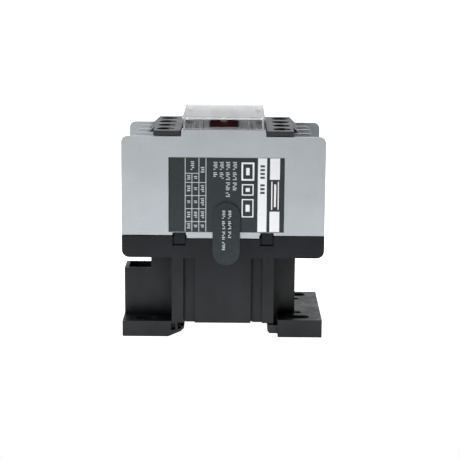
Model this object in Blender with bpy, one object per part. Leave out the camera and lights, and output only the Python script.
"""A three-pole contactor with one auxiliary pole, the switching relay of a motor control panel.

It stands on its mounting feet: X runs from the line end (-X) to the load end (+X), Y across the poles,
and +Z away from the panel. The origin is at the middle of the footprint. Sizes below are in millimetres.
"""

import math

import bmesh
import bpy
from mathutils import Matrix, Vector

MM = 0.001
GAP = 0.3  # clearance between pieces that touch on the real object

# Housing outline.
HALF_LENGTH = 37.2
HALF_WIDTH = 22.5
WALL = 1.8
RAIL_FACE = 5.35  # where the mounting rail's flange bears on the base
FLANGE_BOTTOM = 30.05
FLANGE_TOP = 38.2
BUCKET_HALF_X = 18.85
WAIST_HALF_X = 27.1
WAIST_HALF_Y = 10.9
FLUTE_X = (10.35, 14.6)
LATCH_X = (13.6, 18.6)
CENTRE_SEAM = 37.1  # the joint between base and cover sits lower between the latches
STEP_TOP = 74.9  # top of the cover's side walls at the terminals
RAISED_TOP = 77.3
RAISED_HALF = 15.35
INNER_Y = HALF_WIDTH - WALL

# Poles.
POLE_PITCH = 10.7
POLE_COUNT = 4
CHAMBER_HALF = 4.65
CHAMBER_FLOOR = 59.7
CHAMBER_INNER_X = 16.7
PARTITION_X = 33.2  # the partitions stop short of the side walls' ends
ARC_HALF = 13.8
ARC_FLOOR = 46.0
ARC_CEILING = 75.0
ROOM_CEILING = 44.5  # over the armature
SCREW_X = 21.3

# Guards over the terminals.
GUARD_TOP = 77.0
GUARD_INNER_X = RAISED_HALF + GAP
GUARD_FLAT_X = 25.5
GUARD_TIP_X = 28.9
GUARD_HOLE_R = 3.3
GUARD_WELL_R = 4.2
GUARD_WELL_BOTTOM = 69.5

# Switching stroke.
STROKE = 4.4
CONTACT_GAP = 3.0

# Fixed contacts.
STRIP = 1.2
PLATE_TOP = 61.2
TIP_STRIP_TOP = 51.5
TIP_HEIGHT = 0.8
RISER_X = 13.0
TIP_X = 8.2

# Bridges and the carrier that holds them.
BRIDGE_BOTTOM = TIP_STRIP_TOP + CONTACT_GAP + 2 * TIP_HEIGHT
BRIDGE_THICK = 1.2
CARRIER_HALF_X = 4.6
CARRIER_HALF_Y = 20.2
CARRIER_SEAT = 42.8
CARRIER_TOP = ARC_CEILING - GAP
INDICATOR_TOP = 79.9
INDICATOR_HALF_X = 4.9
INDICATOR_HALF_Y = 12.0
WINDOW_HALF = 3.1
WINDOW_TOP = 66.5

# Magnet.
CORE_HALF_X = 16.0
CORE_HALF_Y = 6.5
CORE_BOTTOM = 9.0
YOKE = 6.0
OUTER_LEG_X = 11.5
CENTRE_LEG_HALF = 4.5
POLE_FACE = 27.0
ARMATURE_FACE = POLE_FACE + STROKE + 0.1
ARMATURE_YOKE = 36.5
PIN_Z = ARMATURE_YOKE + YOKE / 2
PIN_R = 1.2

# Coil.
BOBBIN_BOTTOM = 15.3
BOBBIN_TOP = 27.8
BOBBIN_HALF_X = 10.9
BOBBIN_HALF_Y = 13.0
BOBBIN_FLANGE = 1.2
COIL_STRIP_Z = 14.0
COIL_STRIP = 0.8
COIL_STRIP_HALF = 2.0
COIL_SHANK_R = 1.2
COIL_HOLE_R = COIL_SHANK_R + GAP
COIL_SCREW_X = 31.4
POCKET_HALF = 2.3
COIL_A1_Y = -7.7
COIL_A2_Y = -2.5
COIL_SHAFT_X = (-33.7, -29.1)  # a slot for the screwdriver, through cover and tray
COIL_SHAFT_Y = (-9.8, -0.9)
COIL_DIVIDER_TOP = 20.0
BLOCK_TOP = 23.55

# Feet and rail clip.
FOOT_LINE_TOP = 5.85
FOOT_LOAD_TOP = 6.6
FOOT_LOAD_INNER = 20.5
FOOT_LOAD_OUTER = 36.9
SLOT_X = 28.3
SLOT_Y = 17.5
SLOT_HALF_WIDTH = 2.4
SLOT_HALF_LENGTH = 4.1
CLIP_TIP_X = 16.7
CLIP_BOTTOM = 0.95
CLIP_TOP = 4.1
CLIP_BAR_X = 20.8
CLIP_TRAVEL = 2.4
CLIP_STEM_HALF = 8.0
SPRING_POST_X = 31.4

# Dust cover.
DUST_TOP = 81.9
DUST_HALF_X = 15.0
DUST_HALF_Y = 21.5
DUST_WALL = 1.0

# Labels.
LABEL_X = (-20.0, 22.3)
LABEL_Z = (39.65, 67.3)
LABEL_THICK = 0.25
LABEL_RECESS = 0.6
SEAL_X = (-3.85, 6.2)
SEAL_TOP = 50.8
SEAL_BOTTOM = 27.3

FAR = 60.0  # past any face of the object, for cutters that run right through


# ---------------------------------------------------------------- shapes

def new_object(mesh_builder):
    """An object whose mesh the builder fills, in metres, with its faces pointing out."""
    mesh = bpy.data.meshes.new("shape")
    builder = bmesh.new()
    mesh_builder(builder)
    bmesh.ops.recalc_face_normals(builder, faces=builder.faces)
    bmesh.ops.scale(builder, vec=(MM, MM, MM), verts=builder.verts)
    builder.to_mesh(mesh)
    builder.free()
    shape = bpy.data.objects.new("shape", mesh)
    bpy.context.scene.collection.objects.link(shape)
    return shape


def block(x, y, z):
    """A box between two limits on each axis."""
    low = Vector((x[0], y[0], z[0]))
    high = Vector((x[1], y[1], z[1]))

    def build(builder):
        bmesh.ops.create_cube(builder, size=1.0)
        size = Matrix.Diagonal((high - low).to_4d())
        place = Matrix.Translation((low + high) / 2)
        bmesh.ops.transform(builder, matrix=place @ size, verts=builder.verts)

    return new_object(build)


def prism(outline, axis, low, high):
    """An outline across the axis, extruded from low to high. For axis Y its points are (x, z)."""
    place = {
        "X": lambda a, b, c: (c, a, b),
        "Y": lambda a, b, c: (a, c, b),
        "Z": lambda a, b, c: (a, b, c),
    }[axis]

    def build(builder):
        face = builder.faces.new([builder.verts.new(place(a, b, low)) for a, b in outline])
        made = bmesh.ops.extrude_face_region(builder, geom=[face])["geom"]
        rise = Vector(place(0, 0, high)) - Vector(place(0, 0, low))
        moved = [item for item in made if isinstance(item, bmesh.types.BMVert)]
        bmesh.ops.translate(builder, vec=rise, verts=moved)

    return new_object(build)


def rod(radius, centre, low, high, axis="Z", sides=16):
    """A cylinder about a line along the axis. For axis Z its centre is (x, y)."""
    return prism(arc(centre, radius, 0, 360 - 360 / sides, sides - 1), axis, low, high)


def arc(centre, radius, start, end, steps):
    """Points on a circle from one angle to another, in degrees."""
    angles = [math.radians(start + (end - start) * step / steps) for step in range(steps + 1)]
    return [(centre[0] + radius * math.cos(a), centre[1] + radius * math.sin(a)) for a in angles]


def rounded_rectangle(x, z, radius, steps=4):
    """A rectangle's outline with four round corners."""
    corners = [
        ((x[1] - radius, z[1] - radius), 0),
        ((x[0] + radius, z[1] - radius), 90),
        ((x[0] + radius, z[0] + radius), 180),
        ((x[1] - radius, z[0] + radius), 270),
    ]
    return [point for centre, start in corners for point in arc(centre, radius, start, start + 90, steps)]


def coil_spring(radius, wire, low, high, turns, centre, axis="Z", sides=6, per_turn=12):
    """A helical compression spring whose wire runs between low and high along the axis."""
    steps = round(turns * per_turn)
    turned = {"X": Matrix.Rotation(math.radians(90), 3, "Y"), "Z": Matrix.Identity(3)}[axis]

    def point(step):
        angle = 2 * math.pi * step / per_turn
        height = low + wire + (high - low - 2 * wire) * step / steps
        return Vector((radius * math.cos(angle), radius * math.sin(angle), height))

    def build(builder):
        rings = []
        for step in range(steps + 1):
            angle = 2 * math.pi * step / per_turn
            outward = Vector((math.cos(angle), math.sin(angle), 0))
            ahead = (point(step + 1) - point(step - 1)).normalized()
            across = ahead.cross(outward).normalized()
            ring = []
            for side in range(sides):
                turn = 2 * math.pi * side / sides
                offset = (outward * math.cos(turn) + across * math.sin(turn)) * wire
                ring.append(builder.verts.new(turned @ (point(step) + offset) + Vector(centre)))
            rings.append(ring)
        for first, second in zip(rings, rings[1:]):
            for side in range(sides):
                after = (side + 1) % sides
                builder.faces.new((first[side], first[after], second[after], second[side]))
        builder.faces.new(rings[0])
        builder.faces.new(rings[-1])

    return new_object(build)


# ---------------------------------------------------------------- joining, cutting and placing

def combine(target, tools, operation):
    """Joins the tools to the target, or cuts them from it, and removes them."""
    for tool in tools:
        modifier = target.modifiers.new(operation.lower(), "BOOLEAN")
        modifier.operation = operation
        modifier.solver = "EXACT"
        modifier.object = tool
    bpy.context.view_layer.update()
    graph = bpy.context.evaluated_depsgraph_get()
    mesh = bpy.data.meshes.new_from_object(target.evaluated_get(graph))
    target.modifiers.clear()
    target.data = mesh
    for tool in tools:
        bpy.data.objects.remove(tool)
    return target


def join(target, *tools):
    return combine(target, tools, "UNION")


def cut(target, *tools):
    return combine(target, tools, "DIFFERENCE")


def empty(name, location, parent=None):
    """A parent for the pieces of one moving body."""
    holder = bpy.data.objects.new(name, None)
    bpy.context.scene.collection.objects.link(holder)
    holder.parent = parent
    offset = parent.location if parent else Vector()
    holder.location = Vector(location) * MM - offset
    return holder


def piece(shape, name, finish, origin=(0, 0, 0), parent=None, smooth=False):
    """Names the shape as a sub-part, gives it its material and puts its origin where it is held."""
    shape.name = name
    shape.data.name = name
    shape.data.materials.clear()
    shape.data.materials.append(finish)
    start = Vector(origin) * MM
    shape.data.transform(Matrix.Translation(-start))
    if smooth:
        shape.data.shade_smooth()
        shape.data.set_sharp_from_angle(angle=math.radians(35))
    if parent:
        bpy.context.view_layer.update()
        shape.parent = parent
        shape.location = start - parent.matrix_world.translation
    else:
        shape.location = start
    return shape


def material(name, colour, roughness, metallic=0.0, alpha=1.0):
    made = bpy.data.materials.new(name)
    made.use_nodes = True
    shader = made.node_tree.nodes["Principled BSDF"]
    shader.inputs["Base Color"].default_value = (*colour, 1.0)
    shader.inputs["Roughness"].default_value = roughness
    shader.inputs["Metallic"].default_value = metallic
    shader.inputs["Alpha"].default_value = alpha
    return made


def pole_y(pole):
    """The middle of a pole, counted from 1 at -Y."""
    return (pole - (POLE_COUNT + 1) / 2) * POLE_PITCH


def both(half):
    return (-half, half)


# ---------------------------------------------------------------- housings

def base_housing(finish):
    """The lower moulding: a bucket for the magnet and coil, a tray flange, the feet and the rail hook."""
    tray_radius = 2.7
    lower_corners = (
        [(-HALF_LENGTH, FLANGE_TOP)]
        + arc((-HALF_LENGTH + tray_radius, FLANGE_BOTTOM + tray_radius), tray_radius, 180, 270, 5)
        + arc((HALF_LENGTH - tray_radius, FLANGE_BOTTOM + tray_radius), tray_radius, 270, 360, 5)
        + [(HALF_LENGTH, FLANGE_TOP)]
    )
    body = prism(lower_corners, "Y", -HALF_WIDTH, HALF_WIDTH)
    bucket = block(both(BUCKET_HALF_X), both(HALF_WIDTH - 0.02), (RAIL_FACE, FLANGE_TOP - 1))
    waist = block(both(WAIST_HALF_X), both(WAIST_HALF_Y), (RAIL_FACE + 0.01, FLANGE_BOTTOM + 1))
    coil_block = block((-HALF_LENGTH + 0.1, -26.8), (-WAIST_HALF_Y - 0.01, 0.8), (5, BLOCK_TOP))
    hook = [
        (-HALF_LENGTH, 0.0),
        (-20.2, 0.0),
        (-15.7, 1.95),
        (-14.3, 3.2),
        (-14.3, 3.9),
        (-16.8, 3.9),
        (-16.8, FOOT_LINE_TOP),
        (-HALF_LENGTH, FOOT_LINE_TOP),
    ]
    line_foot = prism(hook, "Y", -HALF_WIDTH, HALF_WIDTH)
    load_foot = block((FOOT_LOAD_INNER, FOOT_LOAD_OUTER), both(HALF_WIDTH), (0, FOOT_LOAD_TOP))
    join(body, bucket, waist, coil_block, line_foot, load_foot)
    cut(body, *base_cavities())
    cut(body, *clip_channel(), *mounting_slots())
    cut(body, *side_reliefs())
    join(body, *latch_tabs())
    spring_post = block((SPRING_POST_X, SPRING_POST_X + 1.4), both(2.4), (0.5, 5.0))
    join(body, spring_post)
    return piece(body, "base_housing", finish)


def base_cavities():
    """The tray, the room for core and coil, and the pockets and passages of the coil terminals."""
    floor = 7.0
    yield block(both(HALF_LENGTH - WALL), both(INNER_Y), (FLANGE_BOTTOM + WALL, FAR))
    yield block(both(16.5), both(19.5), (floor, FAR))
    yield block(both(WAIST_HALF_X - 1.5), both(WAIST_HALF_Y - 0.9), (floor + 0.01, FAR + 1))
    for y in (COIL_A1_Y, COIL_A2_Y):
        pocket = (y - POCKET_HALF, y + POCKET_HALF)
        yield block((-35.6, -28.6), pocket, (10.0, COIL_DIVIDER_TOP + 0.5))
        yield block((-FAR, -35.0), (y - 2.15, y + 2.15), (COIL_STRIP_Z + 1.0, 20.0))
        slot = (COIL_STRIP_Z - GAP, COIL_STRIP_Z + COIL_STRIP + GAP)
        yield block((-29.0, -25.0), (y - COIL_STRIP_HALF - 0.25, y + COIL_STRIP_HALF + 0.25), slot)
    mouth = (COIL_A1_Y - POCKET_HALF, COIL_A2_Y + POCKET_HALF)
    yield block((-35.6, -WAIST_HALF_X + 0.1), mouth, (COIL_DIVIDER_TOP, FLANGE_BOTTOM - 1))
    yield block(COIL_SHAFT_X, COIL_SHAFT_Y, (FLANGE_BOTTOM - 1, FLANGE_BOTTOM + WALL + 1))


def clip_channel():
    """The room in the load foot in which the rail clip slides."""
    roof = CLIP_TOP + GAP
    back = CLIP_BAR_X + CLIP_TRAVEL + GAP
    yield block((FOOT_LOAD_INNER - 1, back), both(20.8), (CLIP_BOTTOM - GAP, roof))
    yield block((FOOT_LOAD_INNER - 1, FAR), both(CLIP_STEM_HALF + GAP), (CLIP_BOTTOM - GAP, roof - 0.01))


def mounting_slots():
    """Four slots for M4 screws, 35 mm apart across the feet, and two small holes beside the load foot's."""
    straight = SLOT_HALF_LENGTH - SLOT_HALF_WIDTH
    for side_x in (-1, 1):
        for side_y in (-1, 1):
            x = side_x * SLOT_X
            y = side_y * SLOT_Y
            outline = arc((x + straight, y), SLOT_HALF_WIDTH, -90, 90, 8)
            outline += arc((x - straight, y), SLOT_HALF_WIDTH, 90, 270, 8)
            yield prism(outline, "Z", -1, FOOT_LOAD_TOP + 1)
    for side in (-1, 1):
        yield rod(1.4, (SLOT_X, side * 10.6), -1, FOOT_LOAD_TOP + 0.2)


def side_reliefs():
    """Flutes in both long sides, hollows in the rail hook, the latch slots and the lower middle seam."""
    for side in (-1, 1):
        outer = side * FAR
        flute = sorted((side * (HALF_WIDTH - 1.4), outer))
        for low, high in ((-FLUTE_X[1], -FLUTE_X[0]), FLUTE_X):
            yield block((low, high), flute, (RAIL_FACE - 1, 29.8))
        slit = sorted((side * (HALF_WIDTH - 2.4), outer))
        for low in (-FLUTE_X[1], FLUTE_X[0]):
            yield block((low, low + 0.7), slit, (RAIL_FACE - 1, 29.7))
        hollow = sorted((side * (HALF_WIDTH - 2.2), outer))
        yield prism([(-19.1, 5.1), (-17.5, 5.1), (-17.5, 2.6), (-19.1, 2.3)], "Y", *hollow)
        yield prism([(-16.6, 5.1), (-15.4, 5.1), (-15.4, 3.2), (-16.6, 2.7)], "Y", *hollow)
        wall = sorted((side * (INNER_Y - 0.5), outer))
        yield block(both(LATCH_X[0]), wall, (CENTRE_SEAM, FAR))
        slot = sorted((side * (HALF_WIDTH - 0.9), outer))
        for end in (-1, 1):
            yield block(sorted((end * LATCH_X[0], end * LATCH_X[1])), slot, (34.6, FAR))
            notch = sorted((end * (LATCH_X[0] - 0.1), end * LATCH_X[1]))
            yield block(notch, wall, (FLANGE_TOP - 0.6, FAR))


def latch_tabs():
    """Four snap tabs that stand in notches of the cover."""
    for side in (-1, 1):
        span = sorted((side * (INNER_Y + 0.1), side * (HALF_WIDTH - 0.35)))
        for low in (-17.95, 14.25):
            yield block((low, low + 4.0), span, (35.1, 39.2))


def upper_housing(finish):
    """The cover moulding: terminal chambers at both ends, arc chambers and carrier shaft between them."""
    bottom = FLANGE_TOP + GAP
    step_radius = 2.2
    edge = 0.5
    outline = (
        [(-HALF_LENGTH, bottom)]
        + [(HALF_LENGTH, bottom)]
        + arc((HALF_LENGTH - step_radius, STEP_TOP - step_radius), step_radius, 0, 90, 5)
        + [(RAISED_HALF, STEP_TOP), (RAISED_HALF, RAISED_TOP - edge), (RAISED_HALF - edge, RAISED_TOP)]
        + [(-RAISED_HALF + edge, RAISED_TOP), (-RAISED_HALF, RAISED_TOP - edge), (-RAISED_HALF, STEP_TOP)]
        + arc((-HALF_LENGTH + step_radius, STEP_TOP - step_radius), step_radius, 90, 180, 5)
    )
    body = prism(outline, "Y", -HALF_WIDTH, HALF_WIDTH)
    lip_z = (CENTRE_SEAM + GAP, bottom + 1)
    for side in (-1, 1):
        join(body, block(both(LATCH_X[0] - GAP), sorted((side * (INNER_Y + 0.05), side * HALF_WIDTH)), lip_z))
    cut(body, *terminal_chambers())
    cut(body, *carrier_shaft())
    cut(body, *cover_reliefs())
    return piece(body, "upper_housing", finish)


def terminal_chambers():
    """Wire chambers open at the ends and the top, screw sockets, contact slots and arc chambers."""
    for pole in range(1, POLE_COUNT + 1):
        y = pole_y(pole)
        across = (y - CHAMBER_HALF, y + CHAMBER_HALF)
        yield block(both(ARC_HALF), across, (ARC_FLOOR, ARC_CEILING))
        for side in (-1, 1):
            yield block(sorted((side * CHAMBER_INNER_X, side * FAR)), across, (CHAMBER_FLOOR, FAR + 40))
            yield rod(2.1, (side * SCREW_X, y), 56.4, CHAMBER_FLOOR + 1)
            slot_x = sorted((side * (ARC_HALF - 1), side * (CHAMBER_INNER_X + 1)))
            slot_z = (PLATE_TOP - STRIP - GAP, PLATE_TOP + GAP)
            yield block(slot_x, (y - 3.3, y + 3.3), slot_z)
    for side in (-1, 1):
        yield block(sorted((side * PARTITION_X, side * FAR)), both(INNER_Y), (CHAMBER_FLOOR, FAR + 40))
        low = (PARTITION_X + 0.2, STEP_TOP - 1.6)
        corner = [(PARTITION_X - 1.6, STEP_TOP + 0.2), low, (FAR, STEP_TOP + 1)]
        yield prism([(side * x, z) for x, z in corner], "Y", *both(INNER_Y - 0.01))


def carrier_shaft():
    """The space that the carrier and armature move in, and the window for the indicator."""
    shaft = both(CARRIER_HALF_X + 1.0)
    yield block(shaft, both(CARRIER_HALF_Y + GAP), (ARC_FLOOR, ARC_CEILING))
    yield block(shaft, both(12.5), (ROOM_CEILING - 1, ARC_FLOOR + 1))
    yield block(both(17.5), both(INNER_Y), (30, ROOM_CEILING))
    yield block(both(INDICATOR_HALF_X + 0.6), both(INDICATOR_HALF_Y + 0.6), (ARC_CEILING - 1, FAR + 40))
    for side in (-1, 1):
        yield block(sorted((side * 18.7, side * (HALF_LENGTH - WALL))), both(INNER_Y), (30, 55))
        hook = sorted((side * 11.9, side * 13.5))
        yield block(hook, both(4.0), (ARC_CEILING - 1, FAR + 40))


def cover_reliefs():
    """The label's recess, the latch notches and the screwdriver shafts to the coil terminals."""
    yield block(LABEL_X, (-FAR, -HALF_WIDTH + LABEL_RECESS), (LABEL_Z[0], LABEL_Z[1]))
    for side in (-1, 1):
        wall = sorted((side * (INNER_Y - 0.5), side * FAR))
        for end in (-1, 1):
            yield block(sorted((end * LATCH_X[0], end * LATCH_X[1])), wall, (30, 39.5))
    yield block(COIL_SHAFT_X, COIL_SHAFT_Y, (50, CHAMBER_FLOOR + 1))


def guard(side, name, finish):
    """A touch guard over one row of terminals, with a well to each screw and tongues over the wires."""
    slope = [
        (GUARD_FLAT_X - 2.0, GUARD_TOP),
        (GUARD_FLAT_X, GUARD_TOP),
        (GUARD_TIP_X, 73.8),
        (GUARD_TIP_X, 72.4),
        (GUARD_FLAT_X - 0.6, 75.3),
        (GUARD_FLAT_X - 2.0, 75.3),
    ]
    plate = block(
        sorted((side * GUARD_INNER_X, side * GUARD_FLAT_X)), both(HALF_WIDTH), (STEP_TOP + GAP, GUARD_TOP)
    )
    ys = [pole_y(pole) for pole in range(1, POLE_COUNT + 1)]
    half = CHAMBER_HALF - GAP
    outline = [(side * x, z) for x, z in slope]
    tongues = [prism(outline, "Y", y - half, y + half) for y in ys[1:]]
    x = side * SCREW_X
    wells = [rod(GUARD_WELL_R, (x, y), GUARD_WELL_BOTTOM, GUARD_TOP - 0.5, sides=20) for y in ys]
    join(plate, *tongues, *wells)
    cut(plate, *[rod(GUARD_HOLE_R, (x, y), GUARD_WELL_BOTTOM - 1, GUARD_TOP + 1, sides=20) for y in ys])
    return piece(plate, name, finish, origin=(x, 0, GUARD_TOP))


def dust_cover(finish, parent):
    """A clear lid over the indicator and the accessory socket, with two snap legs."""
    bottom = RAISED_TOP + GAP
    shell = prism(rounded_rectangle(both(DUST_HALF_X), both(DUST_HALF_Y), 0.8, 3), "Z", bottom, DUST_TOP)
    hollow = block(both(DUST_HALF_X - DUST_WALL), both(DUST_HALF_Y - DUST_WALL), (0, DUST_TOP - DUST_WALL))
    cut(shell, hollow)
    legs = [
        block(sorted((side * 12.2, side * 13.2)), both(3.6), (ARC_CEILING - 0.6, DUST_TOP - 0.5))
        for side in (-1, 1)
    ]
    ribs = []
    for x in (-10.6, 9.0):
        for y in (-DUST_HALF_Y + 1.2, DUST_HALF_Y - 1.2):
            ribs.append(block((x - 0.4, x + 0.4), (y - 0.7, y + 0.7), (bottom + 0.5, DUST_TOP - 0.5)))
    join(shell, *legs, *ribs)
    return piece(shell, "dust_cover", finish, origin=(0, 0, bottom), parent=parent)


# ---------------------------------------------------------------- terminals and contacts

def fixed_contact(side, pole, name, finish):
    """A terminal plate that steps down to a contact tip under the bridge."""
    y = pole_y(pole)
    low = TIP_STRIP_TOP - STRIP
    outline = [
        (TIP_X - 1.8, low),
        (RISER_X, low),
        (RISER_X, PLATE_TOP - STRIP),
        (18.0, PLATE_TOP - STRIP),
        (18.0, PLATE_TOP),
        (RISER_X - STRIP, PLATE_TOP),
        (RISER_X - STRIP, TIP_STRIP_TOP),
        (TIP_X - 1.8, TIP_STRIP_TOP),
    ]
    strip = prism([(side * x, z) for x, z in outline], "Y", y - 3.0, y + 3.0)
    plate = block(sorted((side * 17.2, side * 26.5)), (y - 4.2, y + 4.2), (PLATE_TOP - STRIP, PLATE_TOP))
    tip = rod(1.4, (side * TIP_X, y), TIP_STRIP_TOP - 0.4, TIP_STRIP_TOP + TIP_HEIGHT, sides=14)
    join(strip, plate, tip)
    cut(strip, rod(2.0, (side * SCREW_X, y), PLATE_TOP - 3, PLATE_TOP + 3, sides=14))
    return piece(strip, name, finish, origin=(side * SCREW_X, y, PLATE_TOP))


def clamp_screw(x, y, seat, radius, shank, length, name, finish, parent):
    """A pan-head screw with a driver slot crossed by a recess, standing on its washer."""
    head = seat + 1.0 + 2 * GAP
    height = 0.8 * radius
    screw = rod(shank, (x, y), seat - length, head + 0.5, sides=12)
    join(screw, screw_head(x, y, head, radius, height))
    slot = 0.45
    depth = (head + height * 0.35, head + height + 1)
    long_slot = block((x - radius - 1, x + radius + 1), (y - slot, y + slot), depth)
    cross = block((x - slot - 0.01, x + slot + 0.01), (y - radius * 0.62, y + radius * 0.62), depth)
    cut(screw, long_slot, cross)
    return piece(screw, name, finish, origin=(x, y, seat), parent=parent, smooth=True)


def screw_head(x, y, low, radius, height):
    """A round head with a chamfered rim."""
    sides = 18

    def build(builder):
        rings = []
        for r, z in ((radius, low), (radius, low + height * 0.7), (radius * 0.8, low + height)):
            circle = arc((x, y), r, 0, 360 - 360 / sides, sides - 1)
            rings.append([builder.verts.new((px, py, z)) for px, py in circle])
        for first, second in zip(rings, rings[1:]):
            for index in range(sides):
                after = (index + 1) % sides
                builder.faces.new((first[index], first[after], second[after], second[index]))
        builder.faces.new(rings[0])
        builder.faces.new(rings[-1])

    return new_object(build)


def clamp_washer(x, y, seat, half, hole, name, finish, parent):
    """A square pressure plate with two grooves that grip the wire."""
    low = seat + GAP
    plate = block((x - half, x + half), (y - half, y + half), (low, low + 1.0))
    for middle in (y - half * 0.75, y + half * 0.75):
        cut(plate, block((x - FAR, x + FAR), (middle - 0.3, middle + 0.3), (0, low + 0.25)))
    cut(plate, rod(hole, (x, y), low - 1, low + 2, sides=14))
    return piece(plate, name, finish, origin=(x, y, seat), parent=parent)


def bridge_contact(pole, finish, parent):
    """The moving bridge of one pole: a bar with a tip at each end and a boss for its spring."""
    y = pole_y(pole)
    top = BRIDGE_BOTTOM + BRIDGE_THICK
    bar = block(both(9.9), (y - 2.8, y + 2.8), (BRIDGE_BOTTOM, top))
    tip_z = (BRIDGE_BOTTOM - TIP_HEIGHT, BRIDGE_BOTTOM + 0.4)
    tips = [rod(1.4, (side * TIP_X, y), *tip_z, sides=14) for side in (-1, 1)]
    boss = rod(1.2, (0, y), top - 0.4, top + 0.8, sides=12)
    join(bar, *tips, boss)
    return piece(bar, f"bridge_contact_{pole}", finish, origin=(0, y, BRIDGE_BOTTOM), parent=parent)


def contact_carrier(finish, parent):
    """The sliding crossbar: windows for the bridges, lugs for the armature pin, the indicator on top."""
    body = block(both(CARRIER_HALF_X), both(CARRIER_HALF_Y), (CARRIER_SEAT, CARRIER_TOP))
    stop = block(both(9.0), both(12.0), (CARRIER_SEAT - 0.01, ROOM_CEILING - GAP))
    indicator = block(both(INDICATOR_HALF_X), both(INDICATOR_HALF_Y), (CARRIER_TOP - 1, INDICATOR_TOP))
    lug_z = (PIN_Z - 2.6, CARRIER_SEAT + 1)
    lugs = [block(both(4.0), sorted((side * 6.9, side * 9.4)), lug_z) for side in (-1, 1)]
    join(body, stop, indicator, *lugs)
    window_z = (BRIDGE_BOTTOM - GAP, WINDOW_TOP)
    middles = [pole_y(pole) for pole in range(1, POLE_COUNT + 1)]
    windows = [block(both(FAR), (y - WINDOW_HALF, y + WINDOW_HALF), window_z) for y in middles]
    ends = [block(both(FAR), sorted((side * 12.0, side * FAR)), (0, 51.0)) for side in (-1, 1)]
    groove = block(both(1.2), both(FAR), (INDICATOR_TOP - 0.8, FAR + 40))
    cut(body, *windows, *ends, groove)
    cut(body, rod(PIN_R + GAP, (0, PIN_Z), -12, 12, axis="Y"))
    return piece(body, "contact_carrier", finish, origin=(0, 0, CARRIER_SEAT), parent=parent)


# ---------------------------------------------------------------- magnet and coil

def magnet(yoke, tips, centre_tip):
    """An E of laminations: a yoke between two heights with three legs that end at the tips."""
    outline = [
        (-CORE_HALF_X, yoke[0]),
        (CORE_HALF_X, yoke[0]),
        (CORE_HALF_X, tips),
        (OUTER_LEG_X, tips),
        (OUTER_LEG_X, yoke[1]),
        (CENTRE_LEG_HALF, yoke[1]),
        (CENTRE_LEG_HALF, centre_tip),
        (-CENTRE_LEG_HALF, centre_tip),
        (-CENTRE_LEG_HALF, yoke[1]),
        (-OUTER_LEG_X, yoke[1]),
        (-OUTER_LEG_X, tips),
        (-CORE_HALF_X, tips),
    ]
    return prism(outline, "Y", -CORE_HALF_Y, CORE_HALF_Y)


def ring_block(outer_x, outer_y, inner_x, inner_y, z):
    """A rectangular ring."""
    ring = block(outer_x, outer_y, z)
    return cut(ring, block(inner_x, inner_y, (z[0] - 1, z[1] + 1)))


def fixed_core(finish):
    """The lower E, with a groove for a shading ring in each outer pole face."""
    core = magnet((CORE_BOTTOM, CORE_BOTTOM + YOKE), POLE_FACE, POLE_FACE - 0.15)
    grooves = []
    for side in (-1, 1):
        outer = sorted((side * 10.9, side * 16.5))
        inner = sorted((side * 12.9, side * 14.6))
        grooves.append(ring_block(outer, (-7.0, 3.2), inner, (-5.2, 1.6), (24.4, POLE_FACE + 1)))
    cut(core, *grooves)
    return piece(core, "fixed_core", finish, origin=(0, 0, CORE_BOTTOM))


def shading_ring(side, name, finish):
    """The copper ring that holds the magnet closed through each current zero."""
    outer = sorted((side * 11.7, side * 15.8))
    inner = sorted((side * 12.6, side * 14.9))
    ring = ring_block(outer, (-6.3, 2.9), inner, (-5.5, 1.9), (24.7, 26.7))
    return piece(ring, name, finish, origin=(side * 13.75, 0, 24.7))


def coil_bobbin(finish):
    """The coil former round the centre leg."""
    z = (BOBBIN_BOTTOM, BOBBIN_TOP)
    flanges = [
        block(both(BOBBIN_HALF_X), both(BOBBIN_HALF_Y), (z[0], z[0] + BOBBIN_FLANGE)),
        block(both(BOBBIN_HALF_X), both(BOBBIN_HALF_Y), (z[1] - BOBBIN_FLANGE, z[1])),
    ]
    body = block(both(5.9), both(7.9), (z[0] + 0.4, z[1] - 0.4))
    join(body, *flanges)
    cut(body, block(both(4.9), both(6.9), (0, FAR)))
    return piece(body, "coil_bobbin", finish, origin=(0, 0, BOBBIN_BOTTOM))


def coil_winding(finish):
    """The wound copper, as one solid of its outer shape."""
    z = (BOBBIN_BOTTOM + BOBBIN_FLANGE + GAP, BOBBIN_TOP - BOBBIN_FLANGE - GAP)
    body = prism(rounded_rectangle(both(10.3), both(12.4), 2.0, 3), "Z", *z)
    cut(body, block(both(6.2), both(8.2), (0, FAR)))
    return piece(body, "coil_winding", finish, origin=(0, 0, z[0]))


def coil_strip_a1(finish):
    """The near terminal strip of the coil, narrower where it passes the core."""
    z = (COIL_STRIP_Z, COIL_STRIP_Z + COIL_STRIP)
    near = COIL_A1_Y - COIL_STRIP_HALF
    far = COIL_A1_Y + COIL_STRIP_HALF
    beside_core = -CORE_HALF_Y - GAP
    outline = [
        (-34.6, near),
        (-8.0, near),
        (-8.0, beside_core),
        (-17.4, beside_core),
        (-17.4, far),
        (-34.6, far),
    ]
    strip = prism(outline, "Z", *z)
    cut(strip, rod(COIL_HOLE_R, (-COIL_SCREW_X, COIL_A1_Y), 0, FAR, sides=12))
    return piece(strip, "coil_strip_a1", finish, origin=(-COIL_SCREW_X, COIL_A1_Y, COIL_STRIP_Z))


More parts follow.
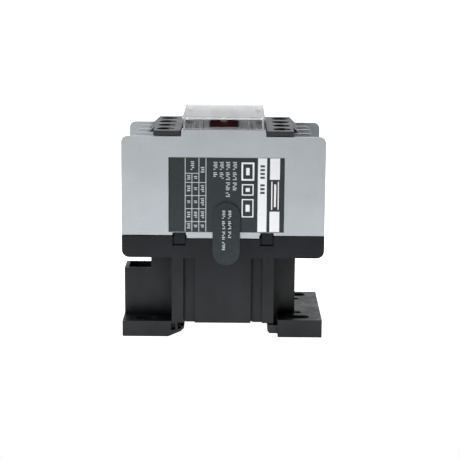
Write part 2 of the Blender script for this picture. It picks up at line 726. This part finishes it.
def coil_strip_a2(finish):
    """The strip that leads round the magnet's leg from the far side of the coil."""
    near = COIL_A2_Y - COIL_STRIP_HALF
    far = COIL_A2_Y + COIL_STRIP_HALF
    outline = [
        (-34.6, near),
        (-17.6, near),
        (-17.6, 7.0),
        (-8.0, 7.0),
        (-8.0, 9.7),
        (-20.4, 9.7),
        (-20.4, far),
        (-34.6, far),
    ]
    strip = prism(outline, "Z", COIL_STRIP_Z, COIL_STRIP_Z + COIL_STRIP)
    cut(strip, rod(COIL_HOLE_R, (-COIL_SCREW_X, COIL_A2_Y), 0, FAR, sides=12))
    return piece(strip, "coil_strip_a2", finish, origin=(-COIL_SCREW_X, COIL_A2_Y, COIL_STRIP_Z))


def armature(finish, parent):
    """The upper E, bored for the pin that hangs it in the carrier."""
    body = magnet((ARMATURE_YOKE + YOKE, ARMATURE_YOKE), ARMATURE_FACE, ARMATURE_FACE + 0.15)
    cut(body, rod(PIN_R + GAP, (0, PIN_Z), -12, 12, axis="Y"))
    return piece(body, "armature", finish, origin=(0, 0, ARMATURE_YOKE), parent=parent)


# ---------------------------------------------------------------- rail clip and labels

def din_clip(finish, parent):
    """The sliding jaw that grips the mounting rail, with a spring window and a slot to pull it by."""
    jaw = [
        (CLIP_TIP_X, CLIP_BOTTOM + 0.9),
        (CLIP_TIP_X + 0.9, CLIP_BOTTOM),
        (CLIP_BAR_X, CLIP_BOTTOM),
        (CLIP_BAR_X, CLIP_TOP),
        (CLIP_TIP_X, CLIP_TOP),
    ]
    bar = prism(jaw, "Y", -20.5, 20.5)
    stem_x = (CLIP_BAR_X - 1, FOOT_LOAD_OUTER)
    stem = block(stem_x, both(CLIP_STEM_HALF), (CLIP_BOTTOM + 0.01, CLIP_TOP - 0.01))
    join(bar, stem)
    window = block((23.4, 33.2), both(3.2), (0, FAR))
    pull = block((34.0, 35.2), both(2.6), (0, FAR))
    cut(bar, window, pull)
    return piece(bar, "din_clip", finish, origin=(CLIP_BAR_X, 0, CLIP_BOTTOM), parent=parent)


def labels(plate_finish, seal_finish):
    """The rating plate in its recess, and the seal that bridges plate, cover and base."""
    back = -HALF_WIDTH + LABEL_RECESS - 0.15
    inset = 0.15
    plate_x = (LABEL_X[0] + inset, LABEL_X[1] - inset)
    plate_z = (LABEL_Z[0] + inset, LABEL_Z[1] - inset)
    plate = block(plate_x, (back - LABEL_THICK, back), plate_z)
    piece(plate, "rating_plate", plate_finish, origin=(LABEL_X[0], back, LABEL_Z[0]))
    radius = (SEAL_X[1] - SEAL_X[0]) / 2
    middle = (SEAL_X[0] + SEAL_X[1]) / 2
    outline = arc((middle, SEAL_TOP - radius), radius, 0, 180, 12)
    outline += arc((middle, SEAL_BOTTOM + radius), radius, 180, 360, 12)
    seal = prism(outline, "Y", -HALF_WIDTH - 0.25, -HALF_WIDTH - 0.1)
    piece(seal, "seal_label", seal_finish, origin=(middle, -HALF_WIDTH, SEAL_TOP))


# ---------------------------------------------------------------- assembly

def build():
    for old in list(bpy.data.objects):
        bpy.data.objects.remove(old)

    black = material("black_plastic", (0.035, 0.037, 0.042), 0.55)
    grey = material("grey_plastic", (0.43, 0.46, 0.49), 0.5)
    clear = material("clear_plastic", (0.86, 0.87, 0.87), 0.08, alpha=0.35)
    red = material("red_plastic", (0.28, 0.03, 0.045), 0.45)
    cream = material("bobbin_plastic", (0.75, 0.72, 0.62), 0.5)
    clip_plastic = material("clip_plastic", (0.05, 0.052, 0.056), 0.5)
    brass = material("contact_brass", (0.68, 0.55, 0.30), 0.35, 1.0)
    zinc = material("zinc_steel", (0.66, 0.66, 0.67), 0.3, 1.0)
    spring_steel = material("spring_steel", (0.55, 0.55, 0.56), 0.3, 1.0)
    laminations = material("core_steel", (0.34, 0.34, 0.35), 0.45, 1.0)
    copper = material("copper", (0.72, 0.32, 0.16), 0.35, 1.0)
    rubber = material("rubber", (0.03, 0.03, 0.03), 0.85)
    plate_print = material("plate_print", (0.055, 0.063, 0.068), 0.4)
    seal_film = material("seal_film", (0.06, 0.07, 0.074), 0.35)

    base_housing(black)
    upper_housing(grey)
    guard(-1, "line_guard", black)
    guard(1, "load_guard", black)
    labels(plate_print, seal_film)

    lid = empty("dust_cover_lift", (0, 0, RAISED_TOP))
    dust_cover(clear, lid)

    moving = empty("carrier_stroke", (0, 0, CARRIER_SEAT))
    contact_carrier(red, moving)
    armature(laminations, moving)
    pin = rod(PIN_R, (0, PIN_Z), -9.2, 9.2, axis="Y")
    piece(pin, "armature_pin", zinc, origin=(0, 0, PIN_Z), parent=moving, smooth=True)

    for pole in range(1, POLE_COUNT + 1):
        y = pole_y(pole)
        bridge = empty(f"bridge_{pole}_travel", (0, y, BRIDGE_BOTTOM), moving)
        bridge_contact(pole, brass, bridge)
        top = BRIDGE_BOTTOM + BRIDGE_THICK
        wound = coil_spring(2.1, 0.3, top + GAP, WINDOW_TOP - GAP, 5, (0, y, 0), sides=5, per_turn=10)
        piece(wound, f"contact_spring_{pole}", spring_steel, origin=(0, y, top), parent=moving, smooth=True)
        for side, end in ((-1, "line"), (1, "load")):
            fixed_contact(side, pole, f"{end}_contact_{pole}", brass)
            x = side * SCREW_X
            lift = empty(f"{end}_screw_{pole}_lift", (x, y, PLATE_TOP))
            clamp_washer(x, y, PLATE_TOP, 3.6, 2.0, f"{end}_washer_{pole}", zinc, lift)
            clamp_screw(x, y, PLATE_TOP, 3.0, 1.7, 4.2, f"{end}_screw_{pole}", zinc, lift)

    fixed_core(laminations)
    shading_ring(-1, "line_shading_ring", copper)
    shading_ring(1, "load_shading_ring", copper)
    coil_bobbin(cream)
    coil_winding(copper)
    coil_strip_a1(brass)
    coil_strip_a2(brass)
    for letter, y in (("a1", COIL_A1_Y), ("a2", COIL_A2_Y)):
        seat = COIL_STRIP_Z + COIL_STRIP
        lift = empty(f"coil_screw_{letter}_lift", (-COIL_SCREW_X, y, seat))
        clamp_washer(-COIL_SCREW_X, y, seat, 2.0, COIL_HOLE_R, f"coil_washer_{letter}", zinc, lift)
        clamp_screw(-COIL_SCREW_X, y, seat, 1.9, COIL_SHANK_R, 3.4, f"coil_screw_{letter}", zinc, lift)

    spring = coil_spring(8.9, 0.45, BOBBIN_TOP + GAP, ARMATURE_YOKE - GAP, 4, (0, 0, 0), per_turn=16)
    piece(spring, "return_spring", spring_steel, origin=(0, 0, BOBBIN_TOP), smooth=True)
    cushion = prism(rounded_rectangle(both(14), both(6), 1.5, 3), "Z", 7.3, CORE_BOTTOM - GAP)
    piece(cushion, "core_cushion", rubber, origin=(0, 0, 7.3))

    clip = empty("din_clip_pull", (CLIP_BAR_X, 0, CLIP_BOTTOM))
    din_clip(clip_plastic, clip)
    middle = (CLIP_BOTTOM + CLIP_TOP) / 2
    clip_spring = coil_spring(
        1.1, 0.28, 23.4 + GAP, SPRING_POST_X - GAP, 7, (0, 0, middle), axis="X", sides=5, per_turn=10
    )
    piece(clip_spring, "din_clip_spring", spring_steel, origin=(SPRING_POST_X, 0, middle), smooth=True)


build()
